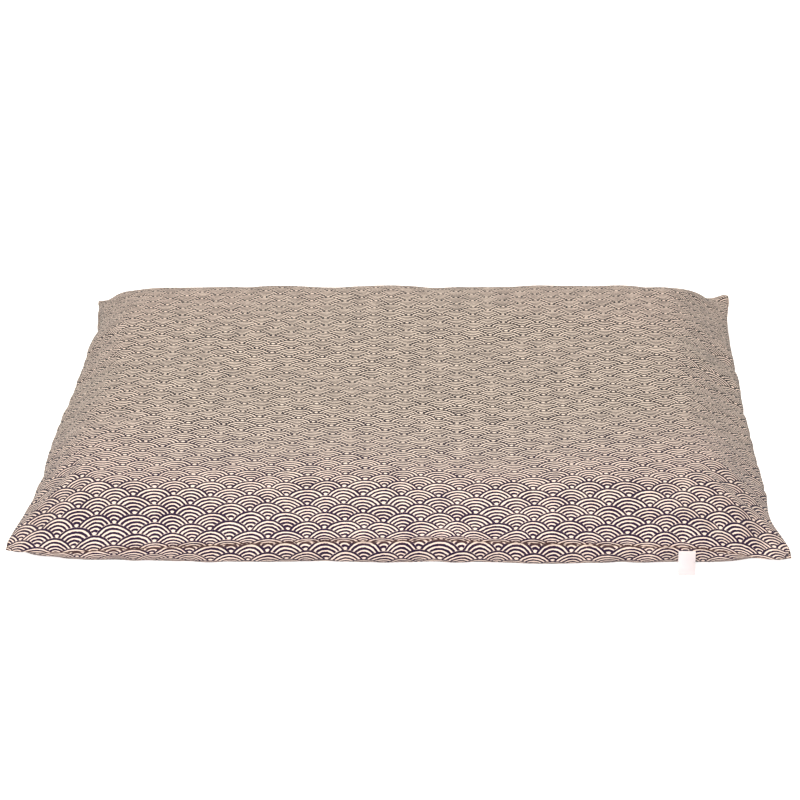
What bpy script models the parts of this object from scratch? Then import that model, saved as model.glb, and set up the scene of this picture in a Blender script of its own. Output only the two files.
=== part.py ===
"""Zabuton: a flat rectangular floor cushion with pinched seams, drawn-in sides and soft ears.

Metres, +Z up. The origin is on the surface that the cushion rests on, under its middle.
+X runs along the long side, +Y from the front seam to the back one.
"""

import math

import bmesh
import bpy

# The two panels as they are cut, before they are filled.
CUT_WIDTH = 0.897
CUT_DEPTH = 0.684

# The top dips a little in front of its middle.
DIP_DEPTH = 0.0035
DIP_CENTRE = (0.0, -0.15)
DIP_SPREAD = (0.55, 0.45)

# Height of the seam halfway along a side, and how late it falls away towards the ears.
SEAM_HEIGHT = 0.0290
SEAM_FALL_POWER = 3

# The four ears: across and deep in the cut panel, then x, y and height of the tip,
# and how high the filled top stands towards that ear.
EARS = (
    (-1, -1, -0.4510, -0.3300, 0.0150, 0.0700),
    (1, -1, 0.4415, -0.3225, 0.0070, 0.0700),
    (-1, 1, -0.4370, 0.3230, 0.0180, 0.0620),
    (1, 1, 0.4480, 0.3270, 0.0320, 0.0735),
)
EAR_X, EAR_Y, EAR_HEIGHT, EAR_CROWN = 2, 3, 4, 5

# How far each side is drawn in between its ears; the front bows out a little instead.
# A high power keeps the side straight and flares it only near the ears.
DRAW_IN = {"left": 0.0170, "right": 0.0185, "front": -0.0010, "back": 0.0020}
DRAW_IN_POWER = 4.5

# Section through the edge, a row for each line of points parallel to the seam:
# distance from the seam along the cloth, inset of the top panel, its share of the rise
# to the crown, inset of the under panel, and its share of the seam's height.
SECTION = (
    (0.000, 0.0050, 0.000, 0.0050, 1.00),
    (0.006, 0.0012, 0.100, 0.0008, 0.84),
    (0.014, 0.0030, 0.270, -0.0004, 0.56),
    (0.030, 0.0135, 0.545, 0.0035, 0.06),
    (0.048, 0.0272, 0.815, 0.0205, 0.00),
    (0.066, 0.0437, 0.965, 0.0395, 0.00),
    (0.085, 0.0626, 0.995, 0.0600, 0.00),
    (0.110, 0.0876, 1.000, 0.0876, 0.00),
)
TOP_INSET, TOP_RISE, UNDER_INSET, UNDER_HEIGHT = 1, 2, 3, 4
MIDDLE_STEP = 0.060

# Plain label, a strip folded in half and caught in the front seam.
LABEL_PLACE = 0.727
LABEL_WIDTH = 0.0195
LABEL_THICKNESS = 0.0010
LABEL_ROOT_GAP = 0.0014
LABEL_BEND_RADIUS = 0.0050
LABEL_TILT = math.radians(47)
LABEL_BEND_STEPS = 5
LABEL_RUN_STEPS = 3
FLOOR_GAP = 0.0003

MERGE_DISTANCE = 0.0001
COPLANAR_ANGLE = math.radians(0.01)

COTTON = ("printed_cotton", (0.430, 0.335, 0.330, 1.0), 0.90)
SATIN = ("label_satin", (0.900, 0.870, 0.860, 1.0), 0.55)


def clear_scene():
    for item in list(bpy.data.objects):
        bpy.data.objects.remove(item, do_unlink=True)


def make_collection(name):
    group = bpy.data.collections.new(name)
    bpy.context.scene.collection.children.link(group)
    return group


def make_material(name, colour, roughness):
    material = bpy.data.materials.new(name)
    material.use_nodes = True
    shader = material.node_tree.nodes["Principled BSDF"]
    shader.inputs["Base Color"].default_value = colour
    shader.inputs["Roughness"].default_value = roughness
    shader.inputs["Metallic"].default_value = 0.0
    return material


def ease(value, first, last):
    """Where value lies between first and last, from 0 to 1."""
    return min(max((value - first) / (last - first), 0.0), 1.0)


def section_at(distance, column):
    """One column of SECTION at a distance from the seam, straight on past the last row."""
    last = SECTION[-1]
    if distance >= last[0]:
        runs_on = column in (TOP_INSET, UNDER_INSET)
        return last[column] + (distance - last[0] if runs_on else 0.0)
    for low, high in zip(SECTION, SECTION[1:]):
        if distance <= high[0]:
            share = ease(distance, low[0], high[0])
            return low[column] + share * (high[column] - low[column])
    return last[column]


def ear_blend(across, deep, column):
    """A column of EARS, blended between the four ears. across and deep run from -1 to 1."""
    total = 0.0
    for ear in EARS:
        total += ear[column] * (1 + ear[0] * across) * (1 + ear[1] * deep) / 4
    return total


def drawn_in(side, along):
    return DRAW_IN[side] * (1 - abs(along) ** DRAW_IN_POWER)


def seam_height(across, deep):
    """Height of the seam, carried on smoothly over the whole panel."""
    ear = ear_blend(across, deep, EAR_HEIGHT)
    return ear + (SEAM_HEIGHT - ear) * (1 - abs(across * deep) ** SEAM_FALL_POWER)


def crown_height(across, deep):
    """Height of the filled top, which leans with the ears and dips in front of the middle."""
    far_x = (across - DIP_CENTRE[0]) / DIP_SPREAD[0]
    far_y = (deep - DIP_CENTRE[1]) / DIP_SPREAD[1]
    dip = DIP_DEPTH * math.exp(-far_x ** 2 - far_y ** 2)
    return ear_blend(across, deep, EAR_CROWN) - dip


def plan_share(distance, half_cut, inset, plump):
    """0 at the seam and 1 on the middle line, for a strip that is flat (0) or plump (1)."""
    near = plump * section_at(distance, inset) + (1 - plump) * distance
    whole = plump * section_at(half_cut, inset) + (1 - plump) * half_cut
    return near / whole


def cloth_point(x_cut, y_cut, panel):
    """Where a point of the cut panel lies once the cushion is filled."""
    across = 2 * x_cut / CUT_WIDTH
    deep = 2 * y_cut / CUT_DEPTH
    from_side = CUT_WIDTH / 2 - abs(x_cut)
    from_end = CUT_DEPTH / 2 - abs(y_cut)
    plump_x = section_at(from_side, TOP_RISE)
    plump_y = section_at(from_end, TOP_RISE)
    inset = TOP_INSET if panel == "top" else UNDER_INSET
    side = 1 if x_cut > 0 else -1
    end = 1 if y_cut > 0 else -1
    side_x = ear_blend(side, deep, EAR_X) - side * drawn_in("right" if side > 0 else "left", deep)
    end_y = ear_blend(across, end, EAR_Y) - end * drawn_in("back" if end > 0 else "front", across)
    x = side_x * (1 - plan_share(from_side, CUT_WIDTH / 2, inset, plump_y))
    y = end_y * (1 - plan_share(from_end, CUT_DEPTH / 2, inset, plump_x))
    seam = seam_height(across, deep)
    if panel == "top":
        return x, y, seam + plump_x * plump_y * (crown_height(across, deep) - seam)
    settled = (1 - section_at(from_side, UNDER_HEIGHT)) * (1 - section_at(from_end, UNDER_HEIGHT))
    return x, y, seam * (1 - settled)


def panel_lines(cut_length):
    """Places of the lines of points across one cut length: SECTION's rows, then even steps."""
    half = cut_length / 2
    edge = [row[0] - half for row in SECTION]
    inner = half - SECTION[-1][0]
    count = round(2 * inner / MIDDLE_STEP)
    middle = [-inner + 2 * inner * step / count for step in range(1, count)]
    return edge + middle + [-place for place in reversed(edge)]


def add_panel(mesh, panel):
    lines_x = panel_lines(CUT_WIDTH)
    lines_y = panel_lines(CUT_DEPTH)
    steps_x = len(lines_x) - 1
    steps_y = len(lines_y) - 1
    made = bmesh.ops.create_grid(mesh, x_segments=steps_x, y_segments=steps_y, size=1.0)
    for point in made["verts"]:
        column = round((point.co.x + 1) / 2 * steps_x)
        row = round((point.co.y + 1) / 2 * steps_y)
        point.co = cloth_point(lines_x[column], lines_y[row], panel)
    return made["verts"]


def cushion_mesh():
    """Two panels sewn edge to edge: one closed body with a sharp seam all round."""
    mesh = bmesh.new()
    crease = mesh.edges.layers.float.new("crease_edge")
    add_panel(mesh, "top")
    under_points = set(add_panel(mesh, "under"))
    under_faces = [face for face in mesh.faces if face.verts[0] in under_points]
    bmesh.ops.reverse_faces(mesh, faces=under_faces)
    for edge in mesh.edges:
        if edge.is_boundary:
            edge[crease] = 1.0
    bmesh.ops.remove_doubles(mesh, verts=mesh.verts, dist=MERGE_DISTANCE)
    data = bpy.data.meshes.new("cushion")
    mesh.to_mesh(data)
    mesh.free()
    return data


def add_object(group, name, data, material):
    item = bpy.data.objects.new(name, data)
    data.materials.append(make_material(*material))
    data.shade_smooth()
    group.objects.link(item)
    return item


def make_cushion(group):
    item = add_object(group, "cushion", cushion_mesh(), COTTON)
    soften = item.modifiers.new("soften", "SUBSURF")
    soften.levels = 1
    soften.render_levels = 1
    flat = item.modifiers.new("merge_flat_underside", "DECIMATE")
    flat.decimate_type = "DISSOLVE"
    flat.angle_limit = COPLANAR_ANGLE


def label_path(seam_x, seam_y, seam_z):
    """Middle line of the label: out of the seam, round a bend and straight to the floor."""
    points = [(seam_x, seam_y - LABEL_ROOT_GAP, seam_z)]
    bend_y = points[0][1]
    for step in range(1, LABEL_BEND_STEPS + 1):
        angle = LABEL_TILT * step / LABEL_BEND_STEPS
        out = LABEL_BEND_RADIUS * math.sin(angle)
        down = LABEL_BEND_RADIUS * (1 - math.cos(angle))
        points.append((seam_x, bend_y - out, seam_z - down))
    bend_end = points[-1]
    lowest = FLOOR_GAP + LABEL_THICKNESS / 2 * math.cos(LABEL_TILT)
    fall = bend_end[2] - lowest
    for step in range(1, LABEL_RUN_STEPS + 1):
        down = fall * step / LABEL_RUN_STEPS
        out = down / math.tan(LABEL_TILT)
        points.append((seam_x, bend_end[1] - out, bend_end[2] - down))
    return points


def make_label(group):
    place = LABEL_PLACE * CUT_WIDTH / 2
    path = label_path(*cloth_point(place, -CUT_DEPTH / 2, "top"))
    mesh = bmesh.new()
    steps = len(path) - 1
    made = bmesh.ops.create_grid(mesh, x_segments=2, y_segments=steps, size=1.0)
    for point in made["verts"]:
        across = point.co.x * LABEL_WIDTH / 2
        row = round((1 - point.co.y) / 2 * steps)
        x, y, z = path[row]
        point.co = (x + across, y, z)
    data = bpy.data.meshes.new("label")
    mesh.to_mesh(data)
    mesh.free()
    item = add_object(group, "label", data, SATIN)
    thicken = item.modifiers.new("thickness", "SOLIDIFY")
    thicken.thickness = LABEL_THICKNESS
    thicken.offset = 0.0


def main():
    clear_scene()
    group = make_collection("zabuton")
    make_cushion(group)
    make_label(group)


main()
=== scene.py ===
"""Zabuton floor cushion in wave-printed cotton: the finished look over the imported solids."""

import math

import bmesh
import bpy
import numpy as np
from mathutils import Euler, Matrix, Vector, noise


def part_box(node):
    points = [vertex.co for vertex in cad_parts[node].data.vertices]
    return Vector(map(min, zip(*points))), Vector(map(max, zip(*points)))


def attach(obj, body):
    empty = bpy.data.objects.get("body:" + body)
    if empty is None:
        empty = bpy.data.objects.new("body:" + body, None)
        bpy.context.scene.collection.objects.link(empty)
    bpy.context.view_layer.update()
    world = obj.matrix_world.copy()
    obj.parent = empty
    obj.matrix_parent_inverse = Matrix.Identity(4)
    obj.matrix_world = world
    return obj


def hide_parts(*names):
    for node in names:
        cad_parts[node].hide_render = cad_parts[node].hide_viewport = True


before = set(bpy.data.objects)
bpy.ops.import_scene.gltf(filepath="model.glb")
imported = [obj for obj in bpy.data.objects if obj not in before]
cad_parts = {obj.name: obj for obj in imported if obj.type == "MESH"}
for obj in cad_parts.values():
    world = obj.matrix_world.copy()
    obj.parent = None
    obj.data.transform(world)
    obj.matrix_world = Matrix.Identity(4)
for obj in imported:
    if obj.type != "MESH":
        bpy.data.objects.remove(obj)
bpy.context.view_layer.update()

MM = 0.001

# The two panels as they are cut, in metres.
CUT_WIDTH = 0.897
CUT_DEPTH = 0.684

# The filled cushion, in metres: the same named sizes as its solid.
DIP_DEPTH = 0.0035
DIP_CENTRE = (0.0, -0.15)
DIP_SPREAD = (0.55, 0.45)
SEAM_HEIGHT = 0.0290
SEAM_FALL_POWER = 3

# Each ear: across and deep in the cut panel, x, y and height of its tip, and how high
# the filled top stands towards it.
EARS = (
    (-1, -1, -0.4515, -0.3290, 0.0185, 0.0700),
    (1, -1, 0.4445, -0.3215, 0.0100, 0.0700),
    (-1, 1, -0.4380, 0.3230, 0.0245, 0.0660),
    (1, 1, 0.4480, 0.3275, 0.0325, 0.0758),
)
EAR_X, EAR_Y, EAR_HEIGHT, EAR_CROWN = 2, 3, 4, 5

# The ears are blunt: their tips are drawn back by this much, over this much cloth.
TIP_DRAWN = 0.0042
TIP_REACH = 0.013

# How far each side is drawn in between its ears; the front bows out a little instead.
DRAW_IN = {"left": 0.0170, "right": 0.0185, "front": -0.0010, "back": 0.0020}
DRAW_IN_POWER = 4.5

# Each side, the axis that it faces along and in which direction.
SIDES = (("left", "x", -1), ("right", "x", 1), ("front", "y", -1), ("back", "y", 1))

# Where the seam wanders: side, place along it from -1 to 1, spread, outwards, upwards.
SEAM_WANDER = (
    ("left", 0.64, 0.12, -0.0042, 0.0),
    ("left", -0.55, 0.14, -0.0045, 0.0),
    ("left", -0.25, 0.40, 0.0038, 0.0),
    ("left", -0.86, 0.10, 0.0015, 0.0),
    ("right", 0.60, 0.30, 0.0032, 0.0),
    ("right", 0.985, 0.030, 0.0, 0.0040),
    ("back", 0.94, 0.020, -0.0010, -0.0020),
    ("back", 0.985, 0.022, 0.0, 0.0025),
    ("right", 0.33, 0.016, -0.0022, -0.002),
    ("right", -0.02, 0.012, -0.0025, -0.002),
    ("right", 0.24, 0.14, 0.0026, 0.0),
    ("right", -0.32, 0.30, -0.0004, 0.0),
    ("right", -0.42, 0.014, -0.0030, -0.004),
    ("right", -0.60, 0.016, -0.0030, -0.004),
    ("right", -0.78, 0.11, -0.0070, 0.0),
    ("front", -0.84, 0.14, 0.0052, -0.0030),
    ("front", -0.60, 0.24, 0.0005, -0.0052),
    ("front", -0.16, 0.06, 0.0, 0.0008),
    ("front", 0.09, 0.10, 0.0, 0.0028),
    ("front", 0.50, 0.14, 0.0, -0.0010),
    ("front", 0.72, 0.05, 0.0, 0.0015),
    ("front", 0.91, 0.06, 0.0, -0.0042),
)
WANDER_REACH = 0.045

# Section through the edge, filled, pinched and sloped: distance from the seam along the cloth,
# inset of the top panel, its share of the rise to the crown, inset of the under panel,
# and its share of the seam's height.
FILLED_SECTION = np.array((
    (0.0000, 0.0060, 0.000, 0.0060, 1.00),
    (0.0020, 0.0034, 0.015, 0.0034, 0.97),
    (0.0060, 0.0008, 0.090, 0.0006, 0.84),
    (0.0140, 0.0028, 0.270, -0.0004, 0.54),
    (0.0300, 0.0135, 0.540, 0.0050, 0.08),
    (0.0480, 0.0272, 0.785, 0.0225, 0.00),
    (0.0660, 0.0437, 0.920, 0.0405, 0.00),
    (0.0850, 0.0622, 0.972, 0.0605, 0.00),
    (0.1100, 0.0872, 0.992, 0.0872, 0.00),
    (0.1500, 0.1272, 1.000, 0.1272, 0.00),
))
PINCHED_SECTION = np.array((
    (0.0000, -0.0020, 0.000, -0.0020, 1.00),
    (0.0020, -0.0012, 0.030, -0.0010, 0.96),
    (0.0060, 0.0022, 0.065, 0.0024, 0.86),
    (0.0140, 0.0100, 0.105, 0.0095, 0.52),
    (0.0300, 0.0245, 0.300, 0.0240, 0.04),
    (0.0480, 0.0390, 0.630, 0.0400, 0.00),
    (0.0660, 0.0540, 0.860, 0.0565, 0.00),
    (0.0850, 0.0715, 0.960, 0.0745, 0.00),
    (0.1100, 0.0958, 0.990, 0.0958, 0.00),
    (0.1500, 0.1356, 1.000, 0.1356, 0.00),
))
SLOPED_SECTION = np.array((
    (0.0000, 0.0060, 0.000, 0.0060, 1.00),
    (0.0020, 0.0036, 0.015, 0.0034, 0.97),
    (0.0060, 0.0020, 0.075, 0.0006, 0.84),
    (0.0140, 0.0062, 0.185, -0.0004, 0.54),
    (0.0300, 0.0195, 0.385, 0.0050, 0.08),
    (0.0480, 0.0352, 0.600, 0.0225, 0.00),
    (0.0660, 0.0512, 0.800, 0.0405, 0.00),
    (0.0850, 0.0690, 0.940, 0.0605, 0.00),
    (0.1100, 0.0936, 0.990, 0.0872, 0.00),
    (0.1500, 0.1336, 1.000, 0.1272, 0.00),
))
TOP_INSET, TOP_RISE, UNDER_INSET, UNDER_HEIGHT = 1, 2, 3, 4

# How pinched each side is, how much further in than on a plain section its top panel takes
# to level off, and how evenly sloped it is. Each row holds the value at the side's first
# ear, in its middle and at its last ear, from front to back or from left to right.
PINCH = {
    "left": (0.70, 0.10, 0.12),
    "right": (0.85, 0.40, 0.80),
    "front": (0.28, 0.00, 0.40),
    "back": (0.10, 0.05, 0.55),
}
LEVELLING = {
    "left": (1.10, 1.05, 0.68),
    "right": (1.20, 1.20, 0.85),
    "front": (1.05, 1.05, 1.05),
    "back": (0.75, 1.00, 0.90),
}
SLOPED = {
    "left": (0.60, 0.15, 0.00),
    "right": (0.60, 0.15, 0.00),
    "front": (1.00, 1.00, 1.00),
    "back": (0.00, 0.00, 0.00),
}
EDGE_TABLES = (PINCH, LEVELLING, SLOPED)
LEVELLING_START = 0.014
TOWARDS_EARS_POWER = 4

# Dents in the top panel: x and y in the cut panel, direction in degrees, half length,
# half width and depth, all in metres.
DENTS = (
    (0.414, 0.150, 87, 0.130, 0.012, 0.0050),
    (0.408, 0.262, 72, 0.026, 0.010, 0.0070),
    (0.392, -0.262, 122, 0.060, 0.013, 0.0040),
    (-0.400, -0.288, 48, 0.045, 0.011, 0.0025),
)

# Ripples along the cloth's normal, in metres. Those along the seam have a wave length, a
# height and how far in from the seam they reach; they are stretched a little inwards, and
# rise quickly from the seam before they fade. Those all over the panels have a wave length
# and a height, and start from nothing at the seam.
SEAM_RIPPLES = ((0.026, 0.0012, 0.030), (0.060, 0.0012, 0.060))
SEAM_RIPPLE_STRETCH = 0.6
SEAM_RIPPLE_RISE = 4
SEAM_RIPPLE_FADE = 2.6
OPEN_RIPPLES = ((0.120, 0.0044), (0.045, 0.0007))
OPEN_RIPPLE_START = 0.05
# Ripples of one kind are cut from their own layers of the same noise, this far apart.
NOISE_LAYER_GAP = 7.3
FIRST_OPEN_LAYER = 5

# Mesh lines: close together beside the seam, where the cloth is pinched, then evenly spaced.
EDGE_LINES = np.array((0.0, 0.0018, 0.0045, 0.0085, 0.0130, 0.0185, 0.0250))
MIDDLE_START = 0.0325
MIDDLE_STEP = 0.0085
SEAM_MERGE = 0.3 * MM

# Cloth settling: the cover is a little larger than the shape it is blown up into. What
# rests on the floor is held, the seam nearly so, and no point moves further than the cap.
CLOTH_GROWTH = 0.008
CLOTH_SETTINGS = {
    "quality": 6,
    "mass": 0.15,
    "tension_stiffness": 20.0,
    "compression_stiffness": 20.0,
    "shear_stiffness": 6.0,
    "bending_stiffness": 0.15,
    "shrink_min": -CLOTH_GROWTH,
    "use_pressure": True,
    "uniform_pressure_force": 4.0,
}
SEAM_HELD = 0.85
RESTING_BELOW = 0.5 * MM
SETTLE_FRAMES = 20
LARGEST_MOVE = 0.0045
NO_MOVE = 1e-9


def smooth_column(section, distance, column):
    """A column of a section at distances from the seam, as a smooth curve through its rows."""
    places = section[:, 0]
    values = section[:, column]
    slopes = np.gradient(values, places)
    inside = np.clip(distance, 0.0, places[-1])
    row = np.clip(np.searchsorted(places, inside) - 1, 0, len(places) - 2)
    width = places[row + 1] - places[row]
    t = (inside - places[row]) / width
    result = (
        values[row] * (1 + 2 * t) * (1 - t) ** 2
        + slopes[row] * width * t * (1 - t) ** 2
        + values[row + 1] * t ** 2 * (3 - 2 * t)
        + slopes[row + 1] * width * t ** 2 * (t - 1)
    )
    if column in (TOP_INSET, UNDER_INSET):
        result = result + np.maximum(distance - places[-1], 0.0)
    return result


def edge_column(distance, column, edge):
    """A column of the edge's section, between filled, sloped and pinched."""
    pinch, levelling, sloped = edge
    beyond = np.maximum(distance - LEVELLING_START, 0.0)
    nearer = distance - beyond + beyond / levelling
    filled = smooth_column(FILLED_SECTION, nearer, column)
    pinched = smooth_column(PINCHED_SECTION, nearer, column)
    value = filled + sloped * (smooth_column(SLOPED_SECTION, nearer, column) - filled)
    value = value + pinch * (pinched - value)
    if column in (TOP_INSET, UNDER_INSET):
        value = distance - (nearer - value) / np.where(beyond > 0, levelling, 1.0)
    return value


def along_sides(table, sides, positive, along):
    """A table's value for the nearer of two sides, between its ears and its middle."""
    first, middle, last = np.where(
        positive[..., None], np.array(table[sides[1]]), np.array(table[sides[0]])
    ).T
    ear = np.where(along > 0, last, first)
    return middle + (ear - middle) * np.abs(along) ** TOWARDS_EARS_POWER


def ear_blend(across, deep, column):
    """A column of EARS, blended between the four ears. across and deep run from -1 to 1."""
    total = np.zeros_like(across + deep)
    for ear in EARS:
        total = total + ear[column] * (1 + ear[0] * across) * (1 + ear[1] * deep) / 4
    return total


def drawn_in(sides, positive, along):
    """How far the nearer of two sides is drawn in at places along it."""
    amount = np.where(positive, DRAW_IN[sides[1]], DRAW_IN[sides[0]])
    return amount * (1 - np.abs(along) ** DRAW_IN_POWER)


def wander(side, along):
    """How far the seam of a side lies outwards and upwards of its even curve."""
    outwards = np.zeros_like(along)
    upwards = np.zeros_like(along)
    for row_side, place, spread, out, up in SEAM_WANDER:
        if row_side == side:
            hump = np.exp(-((along - place) / spread) ** 2)
            outwards = outwards + out * hump
            upwards = upwards + up * hump
    return outwards, upwards


def plan_share(distance, half_cut, inset, plump, edge):
    """0 at the seam and 1 on the middle line, for a strip that is flat (0) or plump (1)."""
    near = plump * edge_column(distance, inset, edge) + (1 - plump) * distance
    half = np.full_like(distance, half_cut)
    whole = plump * edge_column(half, inset, edge) + (1 - plump) * half_cut
    return near / whole


def seam_height(across, deep):
    """Height of the seam, carried on smoothly over the whole panel."""
    ear = ear_blend(across, deep, EAR_HEIGHT)
    return ear + (SEAM_HEIGHT - ear) * (1 - np.abs(across * deep) ** SEAM_FALL_POWER)


def crown_height(across, deep):
    """Height of the filled top, which leans with the ears and dips in front of the middle."""
    far_x = (across - DIP_CENTRE[0]) / DIP_SPREAD[0]
    far_y = (deep - DIP_CENTRE[1]) / DIP_SPREAD[1]
    dip = DIP_DEPTH * np.exp(-far_x ** 2 - far_y ** 2)
    return ear_blend(across, deep, EAR_CROWN) - dip


def dent_depth(x_cut, y_cut):
    total = np.zeros_like(x_cut)
    for x, y, turn, half_length, half_width, depth in DENTS:
        angle = math.radians(turn)
        run = (x_cut - x) * math.cos(angle) + (y_cut - y) * math.sin(angle)
        aside = (y_cut - y) * math.cos(angle) - (x_cut - x) * math.sin(angle)
        total = total + depth * np.exp(-(run / half_length) ** 2 - (aside / half_width) ** 2)
    return total


def cloth_points(x_cut, y_cut, panel):
    """Where points of the cut panel lie once the cushion is filled, as an array of x, y, z."""
    across = 2 * x_cut / CUT_WIDTH
    deep = 2 * y_cut / CUT_DEPTH
    from_side = CUT_WIDTH / 2 - np.abs(x_cut)
    from_end = CUT_DEPTH / 2 - np.abs(y_cut)
    side = np.where(x_cut > 0, 1.0, -1.0)
    end = np.where(y_cut > 0, 1.0, -1.0)
    sides = (("left", "right"), x_cut > 0, deep)
    ends = (("front", "back"), y_cut > 0, across)
    side_edge = [along_sides(table, *sides) for table in EDGE_TABLES]
    end_edge = [along_sides(table, *ends) for table in EDGE_TABLES]
    plump_x = edge_column(from_side, TOP_RISE, side_edge)
    plump_y = edge_column(from_end, TOP_RISE, end_edge)
    inset = TOP_INSET
    if panel == "under":
        inset = UNDER_INSET
        levelling = EDGE_TABLES.index(LEVELLING)
        side_edge[levelling] = end_edge[levelling] = np.ones_like(across)
    side_x = ear_blend(side, deep, EAR_X) - side * drawn_in(*sides)
    end_y = ear_blend(across, end, EAR_Y) - end * drawn_in(*ends)
    x = side_x * (1 - plan_share(from_side, CUT_WIDTH / 2, inset, plump_y, side_edge))
    y = end_y * (1 - plan_share(from_end, CUT_DEPTH / 2, inset, plump_x, end_edge))
    seam = seam_height(across, deep)
    for name, axis, sign in SIDES:
        place = (from_side, deep, x_cut) if axis == "x" else (from_end, across, y_cut)
        distance, along, cut = place
        outwards, upwards = wander(name, along)
        fade = np.where(sign * cut > 0, np.exp(-(distance / WANDER_REACH) ** 2), 0.0)
        if axis == "x":
            x = x + sign * outwards * fade
        else:
            y = y + sign * outwards * fade
        seam = seam + upwards * fade
    tip = TIP_DRAWN * np.exp(-(from_side ** 2 + from_end ** 2) / TIP_REACH ** 2)
    x = x - side * tip
    y = y - end * tip
    if panel == "top":
        rise = plump_x * plump_y * (crown_height(across, deep) - seam)
        z = seam + rise - dent_depth(x_cut, y_cut)
    else:
        lift_x = edge_column(from_side, UNDER_HEIGHT, side_edge)
        lift_y = edge_column(from_end, UNDER_HEIGHT, end_edge)
        z = seam * (1 - (1 - lift_x) * (1 - lift_y))
    return np.stack([x, y, np.maximum(z, 0.0)], axis=-1)


def panel_lines(cut_length):
    """Mesh lines across one cut length, from seam to seam."""
    half = cut_length / 2
    edge = -half + EDGE_LINES
    inner = half - MIDDLE_START
    middle = np.linspace(-inner, inner, round(2 * inner / MIDDLE_STEP) + 1)
    return np.concatenate([edge, middle, -edge[::-1]])


def add_panel(mesh, flat, panel):
    """One printed panel. Its UV map is the flat cut cloth in metres, print upwards."""
    lines_x = panel_lines(CUT_WIDTH)
    lines_y = panel_lines(CUT_DEPTH)
    steps_x = len(lines_x) - 1
    steps_y = len(lines_y) - 1
    made = bmesh.ops.create_grid(mesh, x_segments=steps_x, y_segments=steps_y, size=1.0)
    points = made["verts"]
    columns = [round((point.co.x + 1) / 2 * steps_x) for point in points]
    rows = [round((point.co.y + 1) / 2 * steps_y) for point in points]
    x_cut = lines_x[columns]
    y_cut = lines_y[rows]
    places = cloth_points(x_cut, y_cut, panel)
    up = 1 if panel == "top" else -1
    for index, point in enumerate(points):
        point.co = places[index]
        cut = (x_cut[index], up * y_cut[index])
        for loop in point.link_loops:
            loop[flat].uv = cut
    if panel == "under":
        faces = {face for point in points for face in point.link_faces}
        for face in faces:
            face.material_index = 1
        bmesh.ops.reverse_faces(mesh, faces=list(faces))


def noise_at(place, length, layer):
    depth = NOISE_LAYER_GAP * layer
    return noise.noise(Vector((place.x / length, place.y / length, depth)))


def ripple(x_cut, y_cut):
    """How far the cloth stands off its even shape, along its normal."""
    from_side = CUT_WIDTH / 2 - abs(x_cut)
    from_end = CUT_DEPTH / 2 - abs(y_cut)
    distance = min(from_side, from_end)
    along = y_cut if from_side < from_end else x_cut
    total = 0.0
    for layer, (length, height, reach) in enumerate(SEAM_RIPPLES):
        wave = height * noise_at(Vector((along, SEAM_RIPPLE_STRETCH * distance)), length, layer)
        share = distance / reach
        total += wave * SEAM_RIPPLE_RISE * share * math.exp(1 - SEAM_RIPPLE_FADE * share)
    for layer, (length, height) in enumerate(OPEN_RIPPLES):
        wave = height * noise_at(Vector((x_cut, y_cut)), length, layer + FIRST_OPEN_LAYER)
        total += wave * min(distance / OPEN_RIPPLE_START, 1.0)
    return total


def sewn_panels():
    """Two panels sewn edge to edge into one closed body."""
    mesh = bmesh.new()
    flat = mesh.loops.layers.uv.new("flat_cloth")
    crease = mesh.edges.layers.float.new("crease_edge")
    add_panel(mesh, flat, "top")
    add_panel(mesh, flat, "under")
    for edge in mesh.edges:
        if edge.is_boundary:
            edge[crease] = 1.0
    bmesh.ops.remove_doubles(mesh, verts=mesh.verts, dist=SEAM_MERGE)
    mesh.normal_update()
    shifts = []
    for point in mesh.verts:
        cut = point.link_loops[0][flat].uv
        shifts.append(point.normal * ripple(cut.x, cut.y))
    for point, shift in zip(mesh.verts, shifts):
        point.co += shift
        point.co.z = max(point.co.z, 0.0)
    data = bpy.data.meshes.new("filled_cover")
    mesh.to_mesh(data)
    mesh.free()
    data.shade_smooth()
    return data


def hold_cloth(cover, places):
    """The vertex group that holds the resting cloth still and the seam nearly so."""
    data = cover.data
    creased = data.attributes["crease_edge"].data
    seam = set()
    for edge in data.edges:
        if creased[edge.index].value > 0:
            seam.update(edge.vertices)
    resting = [index for index in range(len(places)) if places[index, 2] < RESTING_BELOW]
    held = cover.vertex_groups.new(name="held")
    held.add(resting, 1.0, "REPLACE")
    held.add(sorted(seam), SEAM_HELD, "REPLACE")
    return held


def settle(cover):
    """Blows the cover up a little as real cloth, and applies where it comes to rest."""
    data = cover.data
    before = np.empty(len(data.vertices) * 3)
    data.vertices.foreach_get("co", before)
    before = before.reshape(-1, 3)
    held = hold_cloth(cover, before)
    cloth = cover.modifiers.new("cloth", "CLOTH")
    cloth.settings.vertex_group_mass = held.name
    for name, value in CLOTH_SETTINGS.items():
        setattr(cloth.settings, name, value)
    cloth.settings.effector_weights.gravity = 0.0
    cloth.collision_settings.use_collision = False
    scene = bpy.context.scene
    for frame_number in range(1, SETTLE_FRAMES + 1):
        scene.frame_set(frame_number)
    settled = cover.evaluated_get(bpy.context.evaluated_depsgraph_get()).to_mesh()
    after = np.empty(len(before) * 3)
    settled.vertices.foreach_get("co", after)
    cover.to_mesh_clear()
    cover.modifiers.remove(cloth)
    cover.vertex_groups.remove(held)
    scene.frame_set(1)
    move = after.reshape(-1, 3) - before
    length = np.linalg.norm(move, axis=1, keepdims=True)
    capped = move * LARGEST_MOVE * np.tanh(length / LARGEST_MOVE) / np.maximum(length, NO_MOVE)
    places = before + capped
    places[:, 2] = np.maximum(places[:, 2], 0.0)
    data.vertices.foreach_set("co", places.ravel())
    data.update()


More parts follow.
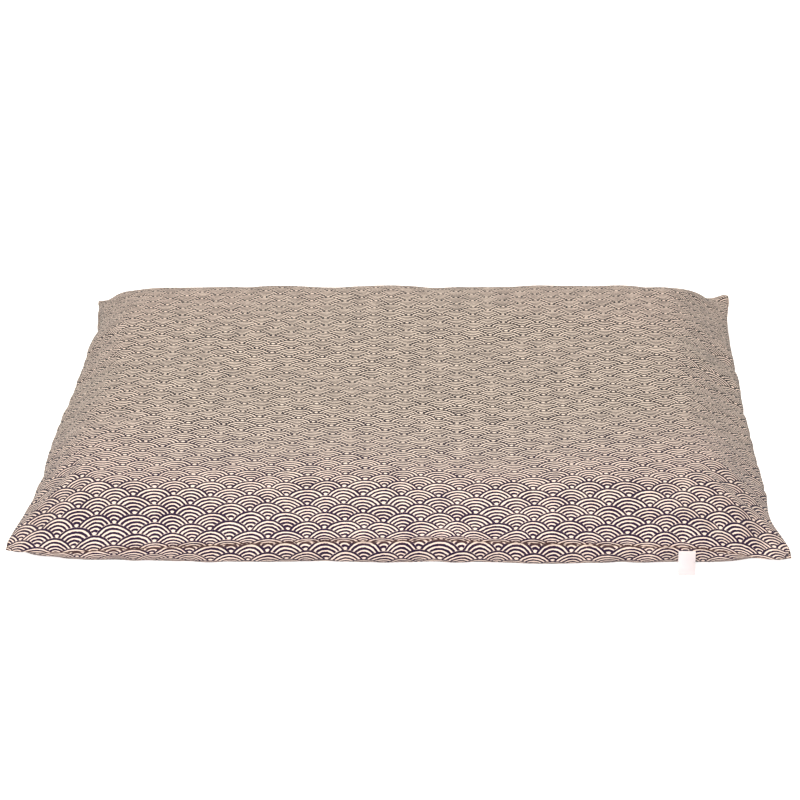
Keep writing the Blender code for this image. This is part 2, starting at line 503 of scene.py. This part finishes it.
def make_cover():
    """The filled cover, settled as cloth and rounded off by one subdivision."""
    cover = bpy.data.objects.new("filled_cover", sewn_panels())
    bpy.context.scene.collection.objects.link(cover)
    settle(cover)
    soften = cover.modifiers.new("soften", "SUBSURF")
    soften.levels = 1
    soften.render_levels = 1
    return cover


def linear(hex_colour):
    """sRGB hex to the linear RGBA that shaders use."""
    channels = [int(hex_colour[i:i + 2], 16) / 255 for i in (1, 3, 5)]
    bent = [c / 12.92 if c <= 0.04045 else ((c + 0.055) / 1.055) ** 2.4 for c in channels]
    return (*bent, 1.0)


MATH = "ShaderNodeMath"
VECTOR_MATH = "ShaderNodeVectorMath"
MAP_RANGE = "ShaderNodeMapRange"
MIX = "ShaderNodeMix"
NOISE = "ShaderNodeTexNoise"
SEPARATE = "ShaderNodeSeparateXYZ"
BUMP = "ShaderNodeBump"


def add_node(tree, kind, links=(), **settings):
    """A shader node with its settings and links.

    links maps inputs to values, to sockets, or to nodes, each of which stands for its own
    first output in use. A plain row of them fills the inputs in order.
    """
    item = tree.nodes.new(kind)
    for name, value in settings.items():
        setattr(item, name, value)
    if not isinstance(links, dict):
        links = dict(enumerate(links))
    for name, value in links.items():
        if isinstance(value, bpy.types.Node):
            value = next(output for output in value.outputs if output.enabled)
        if isinstance(value, bpy.types.NodeSocket):
            tree.links.new(value, item.inputs[name])
        else:
            item.inputs[name].default_value = value
    return item


def new_material(name, finish):
    """A material whose Principled shader has the plain numbers and colours of a finish."""
    material = bpy.data.materials.new(name)
    material.use_nodes = True
    shader = material.node_tree.nodes["Principled BSDF"]
    for socket, value in finish.items():
        shader.inputs[socket].default_value = value
    return material, material.node_tree, shader


# Cotton: matt, with a faint sheen from its fibres.
COTTON_FINISH = {
    "Roughness": 0.88,
    "Specular IOR Level": 0.25,
    "Sheen Weight": 0.12,
    "Sheen Roughness": 0.5,
}

# The print, in metres: a wave scale is half as high as it is wide, and its height is the
# radius. The noises below work in radii, so 1 is a pattern of about 21.5 mm.
WAVE_RADIUS = 0.0215

# One wave scale, with lengths as shares of its height: how much wider than high it is, its
# light middle, the first ring of ink around it and the spacing of the rings outwards.
SCALE_WIDENING = 1.10
LIGHT_MIDDLE = 0.104
FIRST_RING = 0.197
RING_SPACING = 0.186
# Where the ink's edge lies on the wave across a ring, from -1 (all ink) to 1 (none), how
# much lower it lies in the middle of a scale, and how fast it rises outwards from there.
INK_EDGE = -0.30
INK_EDGE_SOFTNESS = 0.24
INK_MIDDLE_SHIFT = -0.16
INK_OUTWARD_RISE = 0.20

# The cloth gave a little under the stencils, so that the rows wander: about 51 mm from
# one wander to the next, and by up to these shares of a radius.
STRETCH_SCALE = 0.42
STRETCH = (0.34, 0.26, 0.0)
# Ragged ink, in specks of about 4 mm: how much they shift the rings and thin the ink.
RAGGED_SCALE = 5.0
RAGGED_DETAIL = 2.0
RAGGED_ROUGHNESS = 0.6
RAGGED_SHIFT = 0.05
RAGGED_THINNING = 0.4
# Heavier and lighter ink, in patches of about 20 mm.
PATCH_SCALE = 1.1
PATCH_THINNING = 0.5

# The ink is a cold aubergine along the front seam and black-brown further back, in metres
# from the middle of the cloth.
FRONT_INK = "#22102c"
BACK_INK = "#1b1518"
INK_FADE = (-0.32, -0.08)

# Unbleached cream, yellowed by use where the cushion is sat on: half width and half depth
# of that part, where its soft edge starts and ends as shares of them, and how uneven the
# edge is, in patches of about 110 mm.
CREAM = "#e3d0c0"
SAT_ON_CREAM = "#e0d0bf"
SAT_ON = (0.44, 0.27)
SAT_ON_EDGE = (0.65, 1.15)
SAT_ON_UNEVEN = 0.5
SAT_ON_PATCHES = 9.0

# Painted shade beside the seam, partly dust: a wide warm tan band where the top panel turns
# under over the crease, and a thin dark line in the crease itself. Each row: how strong, how
# far in from the seam, and its colour.
SEAM_SHADE_AND_DUST = ((0.14, 0.0040, "#b08a58"), (0.60, 0.0009, "#35241f"))

# Plain weave. Real threads lie about 0.45 mm apart, which is too fine to show in the
# render, so they are drawn twice as coarse.
THREAD_SPACING = 0.90 * MM
THREAD_RELIEF = 0.06 * MM
THREAD_STRENGTH = 0.25


def wave_print(tree, cloth_u, cloth_v):
    """Distance from the middle of the wave scale that shows at a point, in scale heights.

    Rows of scales lie half a height apart and are shifted by half a repeat. The scale of
    the lower row that reaches a point covers the row behind it.
    """
    column = add_node(tree, MATH, (cloth_u, 1.0), operation="PINGPONG")
    half_heights = add_node(tree, MATH, (cloth_v, 2.0), operation="MULTIPLY")
    row = add_node(tree, MATH, (half_heights,), operation="FLOOR")
    odd = add_node(tree, MATH, (row, 1.0), operation="PINGPONG")
    even = add_node(tree, MATH, (1.0, odd), operation="SUBTRACT")
    row_start = add_node(tree, MATH, (row, 0.5), operation="MULTIPLY")
    up = add_node(tree, MATH, (cloth_v, row_start), operation="SUBTRACT")
    reaches = []
    for nearest, lift in ((odd, 0.0), (even, 0.5)):
        aside = add_node(tree, MATH, (nearest, column), operation="SUBTRACT")
        across = add_node(tree, MATH, (aside, SCALE_WIDENING), operation="DIVIDE")
        above = add_node(tree, MATH, (up, lift), operation="ADD")
        place = add_node(tree, "ShaderNodeCombineXYZ", {"X": across, "Y": above})
        reaches.append(add_node(tree, VECTOR_MATH, (place,), operation="LENGTH"))
    behind, in_front = reaches
    covers = add_node(tree, MATH, (in_front, 1.0), operation="LESS_THAN")
    return add_node(tree, MIX, {"Factor": covers, "A": behind, "B": in_front})


def printed_ink(tree, flat):
    """How much ink lies at a point: rings in every wave scale, printed a little unevenly."""
    radii = add_node(tree, VECTOR_MATH, {0: flat, "Scale": 1 / WAVE_RADIUS}, operation="SCALE")
    stretch = add_node(
        tree, NOISE, {"Vector": radii, "Scale": STRETCH_SCALE, "Detail": 0.0},
        noise_dimensions="2D",
    )
    both_ways = add_node(
        tree, VECTOR_MATH, (stretch.outputs["Color"], (0.5, 0.5, 0.5)), operation="SUBTRACT"
    )
    stretched = add_node(
        tree, VECTOR_MATH, (both_ways, STRETCH, radii), operation="MULTIPLY_ADD"
    )
    parts = add_node(tree, SEPARATE, (stretched,))
    shown = wave_print(tree, parts.outputs["X"], parts.outputs["Y"])
    ragged = add_node(
        tree, NOISE,
        {
            "Vector": radii, "Scale": RAGGED_SCALE, "Detail": RAGGED_DETAIL,
            "Roughness": RAGGED_ROUGHNESS,
        },
        noise_dimensions="2D",
    )
    patches = add_node(
        tree, NOISE, {"Vector": radii, "Scale": PATCH_SCALE, "Detail": 0.0},
        noise_dimensions="2D",
    )

    shift = add_node(
        tree, MATH, (ragged, RAGGED_SHIFT, -RAGGED_SHIFT / 2), operation="MULTIPLY_ADD"
    )
    shaken = add_node(tree, MATH, (shown, shift), operation="ADD")
    beyond_middle = add_node(tree, MATH, (shaken, LIGHT_MIDDLE), operation="MAXIMUM")
    outwards = add_node(tree, MATH, (beyond_middle, FIRST_RING), operation="SUBTRACT")
    turns = add_node(tree, MATH, (outwards, math.tau / RING_SPACING), operation="MULTIPLY")
    ring = add_node(tree, MATH, (turns,), operation="COSINE")

    thin = add_node(
        tree, MATH, (patches, PATCH_THINNING, INK_EDGE - PATCH_THINNING / 2),
        operation="MULTIPLY_ADD",
    )
    for cause, amount, start in (
        (ragged, RAGGED_THINNING, -RAGGED_THINNING / 2),
        (shown, INK_OUTWARD_RISE, INK_MIDDLE_SHIFT),
    ):
        more = add_node(tree, MATH, (cause, amount, start), operation="MULTIPLY_ADD")
        thin = add_node(tree, MATH, (thin, more), operation="ADD")
    depth = add_node(tree, MATH, (ring, thin), operation="SUBTRACT")
    return add_node(
        tree, MAP_RANGE,
        {"Value": depth, "From Min": -INK_EDGE_SOFTNESS, "From Max": INK_EDGE_SOFTNESS},
        interpolation_type="SMOOTHSTEP",
    )


def cream_cloth(tree, flat):
    """Colour of the unprinted cloth, a little yellower where it is sat on."""
    patches = add_node(
        tree, NOISE, {"Vector": flat, "Scale": SAT_ON_PATCHES, "Detail": 1.0},
        noise_dimensions="2D",
    )
    shares = add_node(
        tree, VECTOR_MATH, (flat, (1 / SAT_ON[0], 1 / SAT_ON[1], 0.0)), operation="MULTIPLY"
    )
    from_middle = add_node(tree, VECTOR_MATH, (shares,), operation="LENGTH")
    uneven = add_node(
        tree, MATH, (patches, SAT_ON_UNEVEN, -SAT_ON_UNEVEN / 2), operation="MULTIPLY_ADD"
    )
    edge = add_node(tree, MATH, (from_middle, uneven), operation="ADD")
    sat_on = add_node(
        tree, MAP_RANGE,
        {
            "Value": edge, "From Min": SAT_ON_EDGE[0], "From Max": SAT_ON_EDGE[1],
            "To Min": 1.0, "To Max": 0.0,
        },
        interpolation_type="SMOOTHSTEP",
    )
    return add_node(
        tree, MIX, {"Factor": sat_on, "A": linear(CREAM), "B": linear(SAT_ON_CREAM)},
        data_type="RGBA",
    )


def shade_and_dust_by_seam(tree, place, colour):
    """The cloth's colour with painted shade beside the seam, in the crease and under the top
    panel's overhang, partly dust.
    """
    gaps = []
    for axis, cut_length in (("X", CUT_WIDTH), ("Y", CUT_DEPTH)):
        from_middle = add_node(tree, MATH, (place.outputs[axis],), operation="ABSOLUTE")
        gaps.append(add_node(tree, MATH, (cut_length / 2, from_middle), operation="SUBTRACT"))
    from_seam = add_node(tree, MATH, gaps, operation="MINIMUM")
    # Each row paints shade into the cloth's colour near the seam, partly dust.
    for strength, reach, crease_colour in SEAM_SHADE_AND_DUST:
        shade = add_node(
            tree, MAP_RANGE,
            {"Value": from_seam, "From Max": reach, "To Min": strength, "To Max": 0.0},
            interpolation_type="SMOOTHSTEP",
        )
        colour = add_node(
            tree, MIX, {"Factor": shade, "A": colour, "B": linear(crease_colour)}, data_type="RGBA"
        )
    return colour


def plain_weave(tree, flat):
    """Warp and weft threads that cross over and under, as a fine bump."""
    turns = add_node(
        tree, VECTOR_MATH, {0: flat, "Scale": math.tau / THREAD_SPACING}, operation="SCALE"
    )
    threads = add_node(tree, SEPARATE, (turns,))
    warp = add_node(tree, MATH, (threads.outputs["X"],), operation="SINE")
    weft = add_node(tree, MATH, (threads.outputs["Y"],), operation="SINE")
    relief = add_node(tree, MATH, (warp, weft), operation="MULTIPLY")
    return add_node(
        tree, BUMP,
        {"Height": relief, "Strength": THREAD_STRENGTH, "Distance": THREAD_RELIEF},
    )


def make_printed_cotton(name, front):
    """Plain-woven cotton, stencil-printed with rows of wave scales.

    To the eye it is dead matt, with no highlight, and warm cream under dark rings whose
    edges are a little ragged and uneven, as ink that has soaked into thread.
    front is -1 where the flat cloth's lower edge is the front seam and 1 where its upper
    edge is.
    """
    material, tree, shader = new_material(name, COTTON_FINISH)
    flat = add_node(tree, "ShaderNodeUVMap", uv_map="flat_cloth")
    place = add_node(tree, SEPARATE, (flat,))
    behind = add_node(tree, MATH, (place.outputs["Y"], -front), operation="MULTIPLY")
    behind_share = add_node(
        tree, MAP_RANGE, {"Value": behind, "From Min": INK_FADE[0], "From Max": INK_FADE[1]}
    )
    ink_colour = add_node(
        tree, MIX, {"Factor": behind_share, "A": linear(FRONT_INK), "B": linear(BACK_INK)},
        data_type="RGBA",
    )
    ink = printed_ink(tree, flat)
    cloth = cream_cloth(tree, flat)
    printed = add_node(
        tree, MIX, {"Factor": ink, "A": cloth, "B": ink_colour}, data_type="RGBA"
    )
    # Painted shade beside the seam, partly dust.
    colour = shade_and_dust_by_seam(tree, place, printed)
    tree.links.new(colour.outputs["Result"], shader.inputs["Base Color"])
    tree.links.new(plain_weave(tree, flat).outputs["Normal"], shader.inputs["Normal"])
    return material


# Satin ribbon. Its face is long floats of fine thread, here across the label. Real threads
# are about 0.1 mm apart, which is too fine to show, so the floats are drawn as streaks
# about 8 mm long and 0.9 mm wide.
SATIN_FINISH = {"Sheen Weight": 0.1}
SATIN_FLOATS = (0.12 / MM, 1.1 / MM, 1.1 / MM)
SATIN_ROUGHNESS = (0.36, 0.54)
SATIN_RELIEF = 0.05 * MM
SATIN_STRENGTH = 0.3
# Off-white, cooler and warmer in patches of about 8 mm.
SATIN_COLOURS = ("#cbc2c2", "#d2cbc7")
SATIN_PATCHES = 0.12 / MM


def make_label_satin():
    """Woven polyester satin ribbon, bare.

    To the eye it is smoother and whiter than the cotton, with a soft gloss that lies in
    streaks along its floats.
    """
    material, tree, shader = new_material("label_satin_ribbon", SATIN_FINISH)
    place = add_node(tree, "ShaderNodeTexCoord").outputs["Object"]
    floats = add_node(tree, VECTOR_MATH, (place, SATIN_FLOATS), operation="MULTIPLY")
    threads = add_node(tree, NOISE, {"Vector": floats, "Scale": 1.0, "Detail": 1.0})
    patches = add_node(tree, NOISE, {"Vector": place, "Scale": SATIN_PATCHES, "Detail": 1.0})
    cooler, warmer = SATIN_COLOURS
    shade = add_node(
        tree, MIX, {"Factor": patches, "A": linear(cooler), "B": linear(warmer)},
        data_type="RGBA",
    )
    gloss = add_node(
        tree, MAP_RANGE,
        {"Value": threads, "To Min": SATIN_ROUGHNESS[0], "To Max": SATIN_ROUGHNESS[1]},
    )
    bump = add_node(
        tree, BUMP, {"Height": threads, "Strength": SATIN_STRENGTH, "Distance": SATIN_RELIEF}
    )
    tree.links.new(shade.outputs["Result"], shader.inputs["Base Color"])
    tree.links.new(gloss.outputs["Result"], shader.inputs["Roughness"])
    tree.links.new(bump.outputs["Normal"], shader.inputs["Normal"])
    return material


# The label: a ribbon folded in half, both ends caught in the seam. Its upper layer runs from
# the seam out to the fold on the floor, and the lower layer runs back under it. Each row is
# how far out and how far up it lies, as shares of the reach and height of its solid.
LABEL_PATH = (
    (0.00, 1.00), (0.10, 1.02), (0.22, 0.93), (0.38, 0.74), (0.55, 0.53), (0.72, 0.33),
    (0.87, 0.16), (0.955, 0.075), (0.995, 0.045), (1.000, 0.020), (0.975, 0.004), (0.90, 0.03),
    (0.76, 0.17), (0.58, 0.36), (0.40, 0.58), (0.24, 0.78), (0.10, 0.90), (0.00, 0.93),
)
RIBBON_THICKNESS = 0.22 * MM
RIBBON_FLOOR_GAP = 0.3 * MM
LABEL_BELOW_SOLID = MM
LABEL_COLUMNS = 10
LABEL_CUP = 0.5 * MM
LABEL_ASIDE = -1.6 * MM
LABEL_SHORTER = 0.88


def make_label():
    """A ribbon folded in half and caught in the seam, where its solid is."""
    low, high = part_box("label")
    mesh = bmesh.new()
    rows = len(LABEL_PATH) - 1
    made = bmesh.ops.create_grid(mesh, x_segments=LABEL_COLUMNS, y_segments=rows, size=1.0)
    for point in made["verts"]:
        across = point.co.x
        out, up = LABEL_PATH[round((1 - point.co.y) / 2 * rows)]
        cup = LABEL_CUP * (1 - across ** 2) * 4 * out * (1 - out)
        x = (low.x + high.x) / 2 + across * (high.x - low.x) / 2 + LABEL_ASIDE * out
        y = high.y + (low.y - high.y) * LABEL_SHORTER * out - cup
        z = low.z + (high.z - low.z - LABEL_BELOW_SOLID) * up + cup
        point.co = (x, y, max(z, RIBBON_FLOOR_GAP))
    data = bpy.data.meshes.new("folded_label")
    mesh.to_mesh(data)
    mesh.free()
    data.shade_smooth()
    label = bpy.data.objects.new("folded_label", data)
    bpy.context.scene.collection.objects.link(label)
    thick = label.modifiers.new("ribbon", "SOLIDIFY")
    thick.thickness = RIBBON_THICKNESS
    thick.offset = 0.0
    soften = label.modifiers.new("soften", "SUBSURF")
    soften.levels = 2
    soften.render_levels = 2
    data.materials.append(make_label_satin())
    return label


# Camera: the photograph's viewpoint, and the lens for a frame 36 mm wide.
CAMERA_PLACE = (0.0296, -2.3376, 1.278)
CAMERA_DOWN = math.radians(27.9)
CAMERA_TURN = math.radians(0.9)
CAMERA_LENS = 94.68
SENSOR_WIDTH = 36.0


def make_camera():
    data = bpy.data.cameras.new("camera")
    data.sensor_width = SENSOR_WIDTH
    data.lens = CAMERA_LENS
    camera = bpy.data.objects.new("camera", data)
    camera.location = CAMERA_PLACE
    camera.rotation_euler = Euler((math.pi / 2 - CAMERA_DOWN, 0.0, CAMERA_TURN))
    bpy.context.scene.collection.objects.link(camera)
    bpy.context.scene.camera = camera


# The white sweep behind and around the cushion: radius and height of its rings, in metres.
SWEEP_RINGS = (
    (0.0, 0.0),
    (3.0, 0.0),
    (7.0, 0.0),
    (8.0, 0.10),
    (8.7, 0.45),
    (9.0, 1.0),
    (9.1, 1.9),
    (9.1, 2.6),
)
SWEEP_SIDES = 48
SWEEP_BELOW = 0.2 * MM
# Matt white paper. It glows for the camera alone, so that it shows as pure white and
# throws no extra light on the cushion.
SWEEP_GLOW = 0.75


def make_stage():
    """A white floor that curves up into a low wall all round."""
    mesh = bmesh.new()
    profile = [mesh.verts.new((radius, 0.0, height)) for radius, height in SWEEP_RINGS]
    edges = [mesh.edges.new(pair) for pair in zip(profile, profile[1:])]
    bmesh.ops.spin(
        mesh, geom=profile + edges, cent=(0, 0, 0), axis=(0, 0, 1),
        angle=2 * math.pi, steps=SWEEP_SIDES, use_merge=True,
    )
    bmesh.ops.remove_doubles(mesh, verts=mesh.verts, dist=MM)
    bmesh.ops.recalc_face_normals(mesh, faces=mesh.faces)
    data = bpy.data.meshes.new("white_sweep")
    mesh.to_mesh(data)
    mesh.free()
    data.shade_smooth()
    sweep = bpy.data.objects.new("white_sweep", data)
    sweep.location.z = -SWEEP_BELOW
    bpy.context.scene.collection.objects.link(sweep)
    finish = {
        "Base Color": linear("#e6e3de"),
        "Roughness": 0.9,
        "Emission Color": linear("#ffffff"),
    }
    material, tree, shader = new_material("white_paper_sweep", finish)
    seen = add_node(tree, "ShaderNodeLightPath").outputs["Is Camera Ray"]
    glow = add_node(tree, MATH, (seen, SWEEP_GLOW), operation="MULTIPLY")
    tree.links.new(glow.outputs["Value"], shader.inputs["Emission Strength"])
    data.materials.append(material)


SKY_STRENGTH = 0.18
# Softboxes: name, place, width and depth, power in watts, colour.
SOFTBOXES = (
    ("overhead_softbox", (-0.2, 0.6, 2.5), 1.8, 1.6, 85.0, "#fff9f2"),
    ("front_softbox", (-0.05, -1.65, 0.90), 1.0, 0.7, 28.5, "#faf5fb"),
)


def make_lights():
    world = bpy.data.worlds.new("studio")
    bpy.context.scene.world = world
    world.use_nodes = True
    background = world.node_tree.nodes["Background"]
    background.inputs["Color"].default_value = linear("#ffffff")
    background.inputs["Strength"].default_value = SKY_STRENGTH
    for name, place, width, depth, power, colour in SOFTBOXES:
        data = bpy.data.lights.new(name, "AREA")
        data.shape = "RECTANGLE"
        data.size = width
        data.size_y = depth
        data.energy = power
        data.color = linear(colour)[:3]
        light = bpy.data.objects.new(name, data)
        light.location = place
        light.rotation_euler = (-Vector(place)).to_track_quat("-Z", "Y").to_euler()
        bpy.context.scene.collection.objects.link(light)


make_camera()
cover = make_cover()
cover.data.materials.append(make_printed_cotton("printed_cotton_top", -1))
cover.data.materials.append(make_printed_cotton("printed_cotton_under", 1))
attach(cover, "root")
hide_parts("cushion")
label = make_label()
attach(label, "root")
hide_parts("label")
make_stage()
make_lights()
bpy.context.scene.view_settings.view_transform = "Standard"
